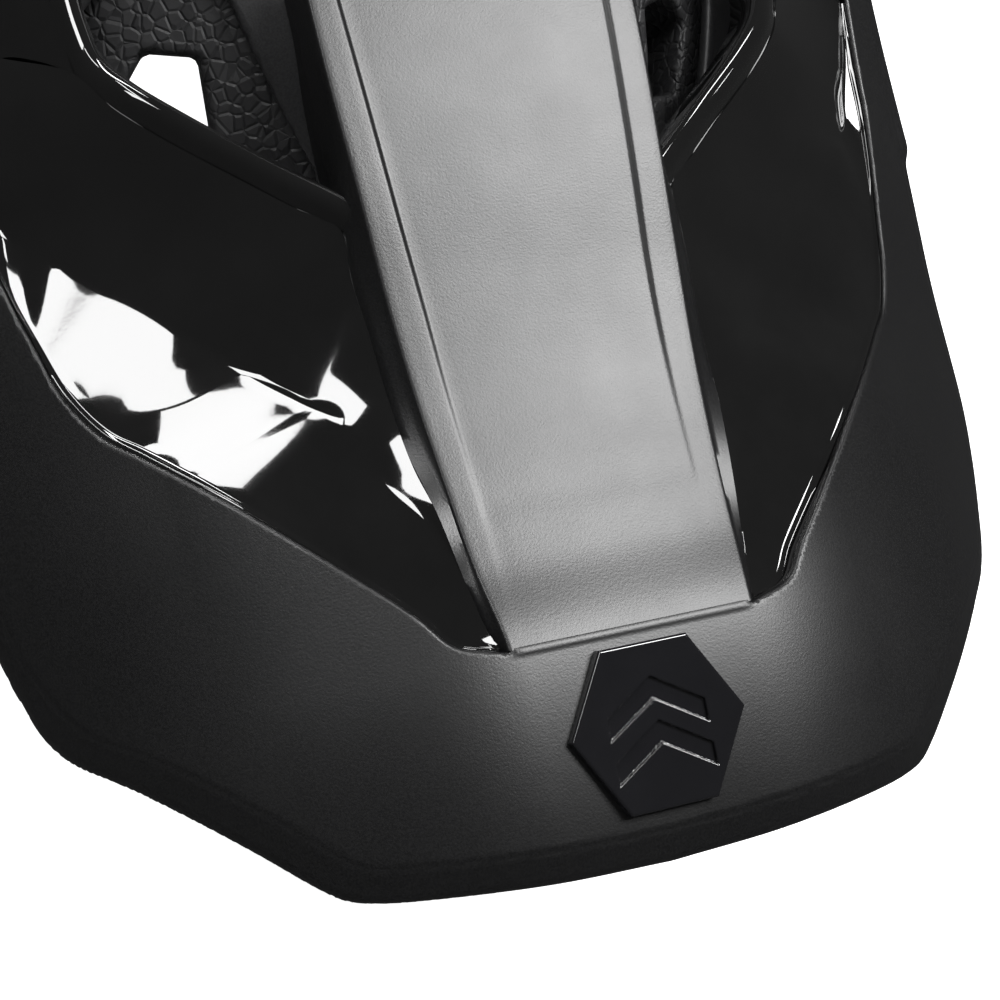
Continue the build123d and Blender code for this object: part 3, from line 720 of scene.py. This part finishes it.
def vent(x, y, z, spec, grow=0.0):
    """Distance to one slot that runs square to the shell."""
    cx, cy, width, length = spec
    reach = SHELL_FRONT if cy < 0 else SHELL_REAR
    rise = SHELL_RISE * math.sqrt(1 - (cx / SHELL_HALF) ** 2 - (cy / reach) ** 2)
    n = np.array([cx / SHELL_HALF**2, cy / reach**2, rise / SHELL_RISE**2])
    n /= np.linalg.norm(n)
    across = np.array([n[2], 0, -n[0]]) / math.hypot(n[0], n[2])
    up = np.cross(n, across)
    dx, dy, dz = x - cx, y - cy, z - (WAIST + rise)
    p = np.abs(dx * across[0] + dy * across[1] + dz * across[2])
    q = np.abs(dx * up[0] + dy * up[1] + dz * up[2])
    r = 0.42 * min(width, length)
    p, q = p - width / 2 + r - grow, q - length / 2 + r - grow
    return np.hypot(np.maximum(p, 0), np.maximum(q, 0)) + np.minimum(np.maximum(p, q), 0) - r


def relief(x, y, z):
    """Depth of the moulded recesses in the shell."""
    spine = 1.3 * (1 - ramp(x, 10, 13)) * ramp(y, -30, -10)
    line = 88 - 0.06 * y
    scallop = 1.4 * ramp(z, line - 13, line - 10) * (1 - ramp(z, line + 9, line + 12)) * ramp(x, 40, 55)
    scallop = scallop * ramp(np.hypot(y - PIVOT_Y, z - PIVOT_Z), 24, 30)
    brow = 1.2 * (1 - ramp(z, 64, 67)) * ramp(z, 40, 43) * (1 - ramp(y, -78, -72))
    return spine + scallop + brow


def belt_height(y):
    """Height of the seam between the upper and the lower skin."""
    return np.interp(y, BELT[:, 0], BELT[:, 1])


def skin(x, y, z):
    """Shell skin with rolled vent and rim edges."""
    d = meet(outer_egg(x, y, z, 0) + relief(x, y, z), -outer_egg(x, y, z, SKIN_DEPTH), 0.8)
    d = meet(d, -rim_cut(x, y, z), 1.4)
    for spec in VENTS:
        d = meet(d, -vent(x, y, z, spec, 0.8), 1.6)
    return meet(d, SHELL_BORE - np.hypot(y - PIVOT_Y, z - PIVOT_Z), 0.5)


def upper_field(x, y, z):
    return meet(skin(x, y, z), belt_height(y) + 0.35 - z, 0.7)


def lower_field(x, y, z):
    return meet(skin(x, y, z), z - belt_height(y) + 0.25, 0.7)


def box_gap(x, y, z, low, high, room):
    """Distance to a box grown by room."""
    d = -np.inf
    for v, a, b in zip((x, y, z), low, high):
        d = np.maximum(d, np.abs(v - (a + b) / 2) - (b - a) / 2 - room)
    return d


def set_in_boxes():
    """Boxes of the pieces let into the foam, in the design frame."""
    boxes = []
    for name in ("band_anchor_left", "cradle_fork"):
        low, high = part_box(name)
        boxes.append((np.array(low) / MM - (0, SHIFT, 0), np.array(high) / MM - (0, SHIFT, 0)))
    return boxes + PLUG_POCKETS


def foam_field(x, y, z):
    """Foam liner: head cavity with air channels, vents and pockets."""
    d = meet(outer_egg(x, y, z, FOAM_INSET), -head_egg(x, y, z, 0), 1.6)
    d = meet(d, -rim_cut(x, y, z), 3.0)
    for spec in VENTS[1:]:
        d = meet(d, -vent(x, y, z, spec), 2.0)
    duct = polygon(x + DUCT_LEAN[0] * (DUCT_Z - z), y - DUCT_LEAN[1] * (DUCT_Z - z), FRONT_DUCT)
    d = meet(d, -duct, 1.5)
    inner = head_egg(x, y, z, -CHANNEL_DEPTH)
    for low, high in AIR_CHANNELS:
        middle, half = (low + high) / 2, (high - low) / 2
        d = meet(d, -np.maximum(np.maximum(np.abs(x - middle) - half, inner), CHANNEL_FOOT - z), 1.5)
    for low, high in POCKETS:
        d = np.maximum(d, -box_gap(x, y, z, low, high, 0.3))
    return np.maximum(d, -np.maximum(np.hypot(y - PIVOT_Y, z - PIVOT_Z) - FOAM_BORE, HEAD_HALF - x))


POCKETS = set_in_boxes()


def pad_field(low, high, channels=()):
    """Pillow lining the head cavity inside a box, with sewn channels across one axis."""
    def field(x, y, z):
        depth = head_egg(x, y, z, PAD_INSET)
        edge = box_gap(x, y, z, low, high, 0.0)
        half = PAD_HALF * np.sqrt(np.clip((-edge + 0.4) / 5.0, 0.0, 1))
        for axis, spot, size in channels:
            half = half * (1 - 0.62 * np.exp(-((((x, y, z)[axis] - spot) / size) ** 2)))
        return meet(np.abs(depth) - half, edge, 0.8)

    return field


def field_piece(name, field, low, high, step, slot, node, body="helmet", symmetric=True):
    """Piece from a field's zero level."""
    p, faces, normal = isosurface(field, low, high, step, symmetric)
    obj = new_object(name, p, faces, SURFACES[slot], normal)
    return finish_piece(obj, body, slot, node)


def foam_material():
    """Expanded beads: each cell domed and of its own grey, with a fine grain over all."""
    mat, nodes, links, shader, place = material("foam_beads")
    cells = nodes.new("ShaderNodeTexVoronoi")
    cells.feature = "DISTANCE_TO_EDGE"
    cells.inputs["Scale"].default_value = 420
    links.new(place, cells.inputs["Vector"])
    tone = nodes.new("ShaderNodeTexVoronoi")
    tone.inputs["Scale"].default_value = 420
    links.new(place, tone.inputs["Vector"])
    fine = noise(nodes, links, place, 1500, 3, 0.6)
    dome = mapped(nodes, links, cells.outputs["Distance"], 0.0, 0.16, 0, 1)
    grey = nodes.new("ShaderNodeSeparateColor")
    links.new(tone.outputs["Color"], grey.inputs["Color"])
    colour = tinted(nodes, links, grey.outputs["Red"], (0.010, 0.010, 0.011), (0.026, 0.026, 0.027))
    links.new(colour, shader.inputs["Base Color"])
    links.new(mapped(nodes, links, fine, 0.3, 0.7, 0.42, 0.68), shader.inputs["Roughness"])
    normal = bump(nodes, links, dome, 0.6, 0.35)
    links.new(bump(nodes, links, fine, 0.3, 0.1, normal), shader.inputs["Normal"])
    return mat


def knit_material():
    """Brushed knit: crossed waves for the loops, with fuzz over them."""
    mat, nodes, links, shader, place = material("pad_knit")
    waves = []
    for axis in ("X", "Y", "Z"):
        wave = nodes.new("ShaderNodeTexWave")
        wave.bands_direction = axis
        wave.inputs["Scale"].default_value = 320
        wave.inputs["Distortion"].default_value = 1.2
        wave.inputs["Detail"].default_value = 1
        links.new(place, wave.inputs["Vector"])
        waves.append(wave.outputs["Fac"])
    first = nodes.new("ShaderNodeMath")
    first.operation = "ADD"
    links.new(waves[0], first.inputs[0])
    links.new(waves[1], first.inputs[1])
    total = nodes.new("ShaderNodeMath")
    total.operation = "ADD"
    links.new(first.outputs[0], total.inputs[0])
    links.new(waves[2], total.inputs[1])
    loops = mapped(nodes, links, total.outputs[0], 0.6, 2.4, 0, 1)
    fuzz = noise(nodes, links, place, 2200, 3, 0.7)
    colour = tinted(nodes, links, loops, (0.009, 0.009, 0.010), (0.032, 0.032, 0.036))
    links.new(colour, shader.inputs["Base Color"])
    shader.inputs["Roughness"].default_value = 0.9
    shader.inputs["Sheen Weight"].default_value = 0.4
    shader.inputs["Sheen Roughness"].default_value = 0.5
    normal = bump(nodes, links, loops, 0.7, 0.25)
    links.new(bump(nodes, links, fuzz, 0.5, 0.12, normal), shader.inputs["Normal"])
    return mat


SURFACES = {
    "shell_matte": matte_plastic("shell_matte", (0.016, 0.016, 0.017), (0.03, 0.03, 0.031), 0.42),
    "shell_gloss": gloss_plastic("shell_gloss", (0.005, 0.005, 0.006), 0.05, 0.12),
    "foam": foam_material(),
    "pad_fabric": knit_material(),
}


def build_helmet():
    """Shells, foam and the pads that line the head cavity."""
    reach = (100, 150, 171)
    field_piece("shell_crown", upper_field, (0, -128, 36), reach, 1.3, "shell_matte", "shell_upper")
    field_piece("shell_skirt", lower_field, (0, -128, -3), (100, 150, 76), 1.2, "shell_gloss", "shell_lower")
    field_piece("foam_beaded", foam_field, (0, -124, -3), (97, 146, 168), 1.5, "foam", "foam_liner")
    fabric, fill = "pad_fabric", 0.8
    brow = pad_field((-50, -110, 46), (50, -40, 70), ((0, 0, 1.6), (0, 24, 1.4), (0, 38, 1.2)))
    field_piece("brow_cushion", brow, (0, -100, 44), (54, -38, 72), 0.8, fabric, "brow_pad")
    crown = pad_field((-9, -62, 100), (9, 62, 160), ((1, 0, 1.6), (1, -32, 1.4), (1, 32, 1.4)))
    field_piece("crown_cushion", crown, (0, -66, 98), (11, 66, 146), 0.8, fabric, "crown_pad")
    temple = pad_field((20, -36, 66), (90, 4, 96), ((1, -16, 1.6),))
    for sign, side in ((1, "left"), (-1, "right")):
        field = temple if sign > 0 else (lambda x, y, z: temple(-x, y, z))
        low, high = ((50, -40, 64), (78, 8, 98)) if sign > 0 else ((-78, -40, 64), (-50, 8, 98))
        name, node = "side_cushion_" + side, "side_pad_" + side
        field_piece(name, field, low, high, 0.8, fabric, node, symmetric=False)


# --- Webbing --------------------------------------------------------------------------------------
def webbing_material():
    """Plain weave in the strap's own UV space, with darker seams between the yarns."""
    mat, nodes, links, shader, place = material("webbing_weave")
    uv = nodes.new("ShaderNodeUVMap")
    waves = []
    for axis, scale in (("X", 420), ("Y", 300)):
        wave = nodes.new("ShaderNodeTexWave")
        wave.bands_direction = axis
        wave.inputs["Scale"].default_value = scale
        wave.inputs["Distortion"].default_value = 0.3
        links.new(uv.outputs["UV"], wave.inputs["Vector"])
        waves.append(wave.outputs["Fac"])
    product = nodes.new("ShaderNodeMath")
    product.operation = "MULTIPLY"
    links.new(waves[0], product.inputs[0])
    links.new(waves[1], product.inputs[1])
    fuzz = noise(nodes, links, place, 3000, 2, 0.7)
    colour = tinted(nodes, links, product.outputs[0], (0.006, 0.006, 0.007), (0.03, 0.03, 0.034))
    links.new(colour, shader.inputs["Base Color"])
    shader.inputs["Roughness"].default_value = 0.75
    shader.inputs["Sheen Weight"].default_value = 0.25
    normal = bump(nodes, links, product.outputs[0], 0.8, 0.2)
    links.new(bump(nodes, links, fuzz, 0.3, 0.06, normal), shader.inputs["Normal"])
    return mat


WEBBING = webbing_material()
STRAP_SECTION = [(-7.5, 0.0), (-7.35, 0.55), (-6.9, 0.75), (-6.0, 0.68), (0, 0.72), (6.0, 0.68)]
STRAP_SECTION += [(6.9, 0.75), (7.35, 0.55), (7.5, 0.0), (7.35, -0.55), (6.9, -0.75), (6.0, -0.68)]
STRAP_SECTION += [(0, -0.72), (-6.0, -0.68), (-6.9, -0.75), (-7.35, -0.55)]
ROUTES = {
    "strap_front": [(-48.5, -40), (-46, -18), (-50, 8), (-43, 28), (-32, 40)],
    "strap_rear": [(-46.4, 45), (-41.6, 52.4), (-37, 52), (-32, 47.5)],
}
CHIN_ROUTES = {
    "chin_strap_right": [(-26, 37.6), (-24.5, 16), (-27, -5.6)],
    "chin_strap_left": [(-27, -44.4), (-21, -57), (0, -63.2), (21, -56), (28, -25), (25, 10), (26, 37.6)],
}
STRAP_MIDDLE = 8.0  # height of the webbing's middle line


def distances(points):
    """Length along a line of points, in metres."""
    return np.r_[0, np.cumsum(np.linalg.norm(np.diff(points, axis=0), axis=1))] * MM


def ribbon(name, route, node):
    """Webbing on edge along a plan route, with raised selvedges."""
    path = spline(route, 16)
    along = np.gradient(path, axis=0)
    along /= np.linalg.norm(along, axis=1, keepdims=True)
    side = np.stack([-along[:, 1], along[:, 0]], 1)
    section = np.array(STRAP_SECTION)
    rings = np.array([[(*(p + t * n), STRAP_MIDDLE + h) for h, t in section] for p, n in zip(path, side)])
    obj = new_object(name, *tube(rings, flip=True), WEBBING, sharp=60)
    cols = len(section)
    length, around = distances(path), distances(np.vstack([section, section[:1]]))
    layer = obj.data.uv_layers.new(name="weave")
    for face in obj.data.polygons:
        for loop in face.loop_indices:
            v = obj.data.loops[loop].vertex_index
            layer.data[loop].uv = (length[v // cols], around[v % cols])
    clean(obj, 0.001)
    return finish_piece(obj, "helmet", "webbing", node)


def build_webbing():
    for name, route in ROUTES.items():
        for sign, side in ((1, "right"), (-1, "left")):
            points = [(x * sign, y) for x, y in route]
            ribbon("web_" + name + "_" + side, points, name + "_" + side)
    for name, route in CHIN_ROUTES.items():
        ribbon("web_" + name, route, name)


# --- Moulded and turned pieces --------------------------------------------------------------------
def metal(name, dark, light, rough):
    """Turned metal with fine machining lines and smudges."""
    mat, nodes, links, shader, place = material(name)
    smear = noise(nodes, links, place, 180, 4, 0.6)
    fine = noise(nodes, links, place, 4000, 2, 0.5)
    links.new(tinted(nodes, links, smear, dark, light), shader.inputs["Base Color"])
    shader.inputs["Metallic"].default_value = 1.0
    links.new(mapped(nodes, links, smear, 0.3, 0.7, rough - 0.05, rough + 0.08), shader.inputs["Roughness"])
    links.new(bump(nodes, links, fine, 0.3, 0.03), shader.inputs["Normal"])
    return mat


def hardware_materials():
    return {
        "hardware_plastic": matte_plastic(
            "hardware_grain", (0.02, 0.02, 0.021), (0.034, 0.034, 0.036), 0.46, 3200
        ),
        "band_plastic": matte_plastic("band_satin", (0.022, 0.022, 0.024), (0.036, 0.036, 0.039), 0.4, 3600),
        "dial_rubber": matte_plastic(
            "dial_grip", (0.012, 0.012, 0.012), (0.022, 0.022, 0.022), 0.72, 2400, 0.08, 0.3
        ),
        "buckle_plastic": gloss_plastic("buckle_satin", (0.018, 0.018, 0.019), 0.22),
        "button_plastic": gloss_plastic("button_satin", (0.10, 0.10, 0.105), 0.25),
        "insert_brass": metal("insert_brass", (0.52, 0.36, 0.14), (0.68, 0.5, 0.24), 0.26),
        "knob_metal": metal("knob_anodised", (0.04, 0.04, 0.042), (0.075, 0.075, 0.078), 0.3),
    }


# Stem of the node's name, its endings, material slot, bevel in millimetres.
ONE, PAIR = ("",), ("_left", "_right")
HARDWARE = [
    ("pivot_insert", PAIR, "insert_brass", 0.4), ("pivot_washers", ONE, "hardware_plastic", 0.15),
    ("pivot_knob", PAIR, "knob_metal", 0.45), ("fit_band", PAIR, "band_plastic", 0.3),
    ("band_anchor", PAIR, "hardware_plastic", 0.3), ("dial_housing", ONE, "hardware_plastic", 0.8),
    ("cradle_arm", ONE, "band_plastic", 0.5), ("cradle_fork", ONE, "hardware_plastic", 0.4),
    ("dial_knob", ONE, "dial_rubber", 0.5), ("dial_pinion", ONE, "hardware_plastic", 0.15),
    ("divider", PAIR, "buckle_plastic", 0.4), ("divider_cam", PAIR, "buckle_plastic", 0.4),
    ("strap_plugs", ONE, "hardware_plastic", 0.8), ("buckle_socket", ONE, "buckle_plastic", 0.5),
    ("buckle_plug", ONE, "buckle_plastic", 0.5), ("buckle_button", ONE, "button_plastic", 0.4),
]


def build_hardware():
    """Copies of the CAD meshes with softened edges and their own materials."""
    materials = hardware_materials()
    body_of = {n: b for b, names in frame["record"]["behaviour"]["bodies"].items() for n in names}
    rows = [(stem + end, slot, width) for stem, ends, slot, width in HARDWARE for end in ends]
    for node, slot, width in rows:
        mesh = NODES[node].data.copy()
        mesh.name = node + "_made"
        mesh.materials.clear()
        mesh.materials.append(materials[slot])
        obj = bpy.data.objects.new(node + "_made", mesh)
        bpy.context.collection.objects.link(obj)
        if mesh.has_custom_normals:
            obj.select_set(True)
            bpy.context.view_layer.objects.active = obj
            bpy.ops.mesh.customdata_custom_splitnormals_clear()
            obj.select_set(False)
        bm = bmesh.new()
        bm.from_mesh(mesh)
        bmesh.ops.remove_doubles(bm, verts=bm.verts, dist=0.01 * MM)
        bmesh.ops.dissolve_limit(bm, angle_limit=math.radians(0.5), verts=bm.verts, edges=bm.edges)
        for face in bm.faces:
            face.smooth = True
        bmesh.ops.recalc_face_normals(bm, faces=bm.faces)
        bm.to_mesh(mesh)
        bm.free()
        soften = obj.modifiers.new("soften", "BEVEL")
        soften.width, soften.segments = width * MM, 2
        soften.limit_method, soften.angle_limit = "ANGLE", math.radians(32)
        soften.use_clamp_overlap = True
        soften.harden_normals = False
        weighted = obj.modifiers.new("weighted", "WEIGHTED_NORMAL")
        weighted.keep_sharp = True
        finish_piece(obj, body_of[node], slot, node)


def box_pad(name, node, body, radius, channels):
    """Sewn pad from a CAD box: a crowned pillow with channels across it."""
    low, high = (np.array(corner) / MM - (0, SHIFT, 0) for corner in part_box(node))
    middle, half = (low + high) / 2, (high - low) / 2

    def field(x, y, z):
        dx, dz = x - middle[0], z - middle[2]
        qx, qz = np.abs(dx) - half[0] + radius, np.abs(dz) - half[2] + radius
        edge = np.hypot(np.maximum(qx, 0), np.maximum(qz, 0)) + np.minimum(np.maximum(qx, qz), 0) - radius
        thick = half[1] * (0.42 + 0.58 * np.sqrt(np.clip(-edge / 6.0, 0, 1)))
        for spot in channels:
            thick = thick * (1 - 0.4 * np.exp(-(((x - spot) / 1.3) ** 2)))
        return meet(np.abs(y - middle[1]) - thick, edge, 0.9)

    field_piece(name, field, low - 1.5, high + 1.5, 0.5, "pad_fabric", node, body, symmetric=False)


build_helmet()
build_webbing()
build_hardware()
box_pad("chin_cushion", "chin_pad", "helmet", 6, (-8, 8))
box_pad("nape_cushion", "cradle_pad", "cradle", 5, (0,))


# --- Studio ---------------------------------------------------------------------------------------
CAMERA_DESIGN = (-158.1, -279.7, 481.1)
CAMERA_RIGHT = Vector((0.9167, -0.2978, 0.2663))
CAMERA_FORWARD = Vector((0.3614, 0.3341, -0.8705))
LIGHTS_AIM = (0, -0.06, 0.13)
# Name, direction, distance, width and length in metres, brightness.
SOFT_BOXES = [
    ("key", (0.46, 0.0, 0.88), 1.6, (0.75, 0.6), 22.5),
    ("strip", (-0.57, 0.30, 1.37), 1.51, (0.56, 0.25), 12),
    ("strip_rear", (-0.38, 0.76, 1.37), 1.61, (0.16, 0.58), 12),
    ("back", (0.0, 0.76, 0.65), 1.6, (1.0, 0.12), 22),
]
SURROUND = (0.05, 0.05, 0.05, 1)  # what the background lights and reflects; the camera sees white


def make_camera():
    data = bpy.data.cameras.new("camera")
    data.sensor_width, data.lens = 36, 90
    data.clip_start, data.clip_end = 0.01, 100
    cam = bpy.data.objects.new("camera", data)
    bpy.context.collection.objects.link(cam)
    back = -CAMERA_FORWARD.normalized()
    right = (CAMERA_RIGHT - back * CAMERA_RIGHT.dot(back)).normalized()
    up = back.cross(right)
    turn = Matrix((right, up, back)).transposed().to_4x4()
    cam.matrix_world = Matrix.Translation(Vector(to_row([CAMERA_DESIGN])[0])) @ turn
    bpy.context.scene.camera = cam


def area_light(name, direction, distance, size, radiance):
    """Soft box at a distance from the visor; radiance is its brightness as seen in a reflection."""
    data = bpy.data.lights.new(name, "AREA")
    data.shape = "RECTANGLE"
    data.size, data.size_y = size
    data.energy = radiance * math.pi * data.size * data.size_y
    obj = bpy.data.objects.new(name, data)
    bpy.context.collection.objects.link(obj)
    out = Vector(direction).normalized()
    side = (Vector((1, 0, 0)) - out * out.dot(Vector((1, 0, 0)))).normalized()
    turn = Matrix((side, out.cross(side), out)).transposed().to_4x4()
    obj.matrix_world = Matrix.Translation(Vector(LIGHTS_AIM) + out * distance) @ turn
    return obj


def make_studio():
    scene = bpy.context.scene
    scene.view_settings.view_transform = "Standard"
    world = bpy.data.worlds.new("studio")
    scene.world = world
    world.use_nodes = True
    nodes, links = world.node_tree.nodes, world.node_tree.links
    background = nodes["Background"]
    path = nodes.new("ShaderNodeLightPath")
    mix = nodes.new("ShaderNodeMix")
    mix.data_type = "RGBA"
    colours = [s for s in mix.inputs if s.type == "RGBA"]
    colours[0].default_value, colours[1].default_value = SURROUND, (1, 1, 1, 1)
    links.new(path.outputs["Is Camera Ray"], mix.inputs["Factor"])
    links.new([s for s in mix.outputs if s.type == "RGBA"][0], background.inputs["Color"])
    for row in SOFT_BOXES:
        area_light(*row)
    mat, nodes, links, shader, place = material("floor_paper")
    paper = tinted(nodes, links, noise(nodes, links, place, 3), (0.78, 0.78, 0.78), (0.84, 0.84, 0.84))
    links.new(paper, shader.inputs["Base Color"])
    shader.inputs["Roughness"].default_value = 0.9
    shader.inputs["Emission Color"].default_value = (1, 1, 1, 1)
    shader.inputs["Emission Strength"].default_value = 1.0
    bpy.ops.mesh.primitive_circle_add(vertices=96, radius=4, fill_type="NGON")
    floor = bpy.context.object
    floor.name = "floor"
    floor.data.materials.append(mat)
    floor.visible_glossy = False


make_camera()
make_studio()
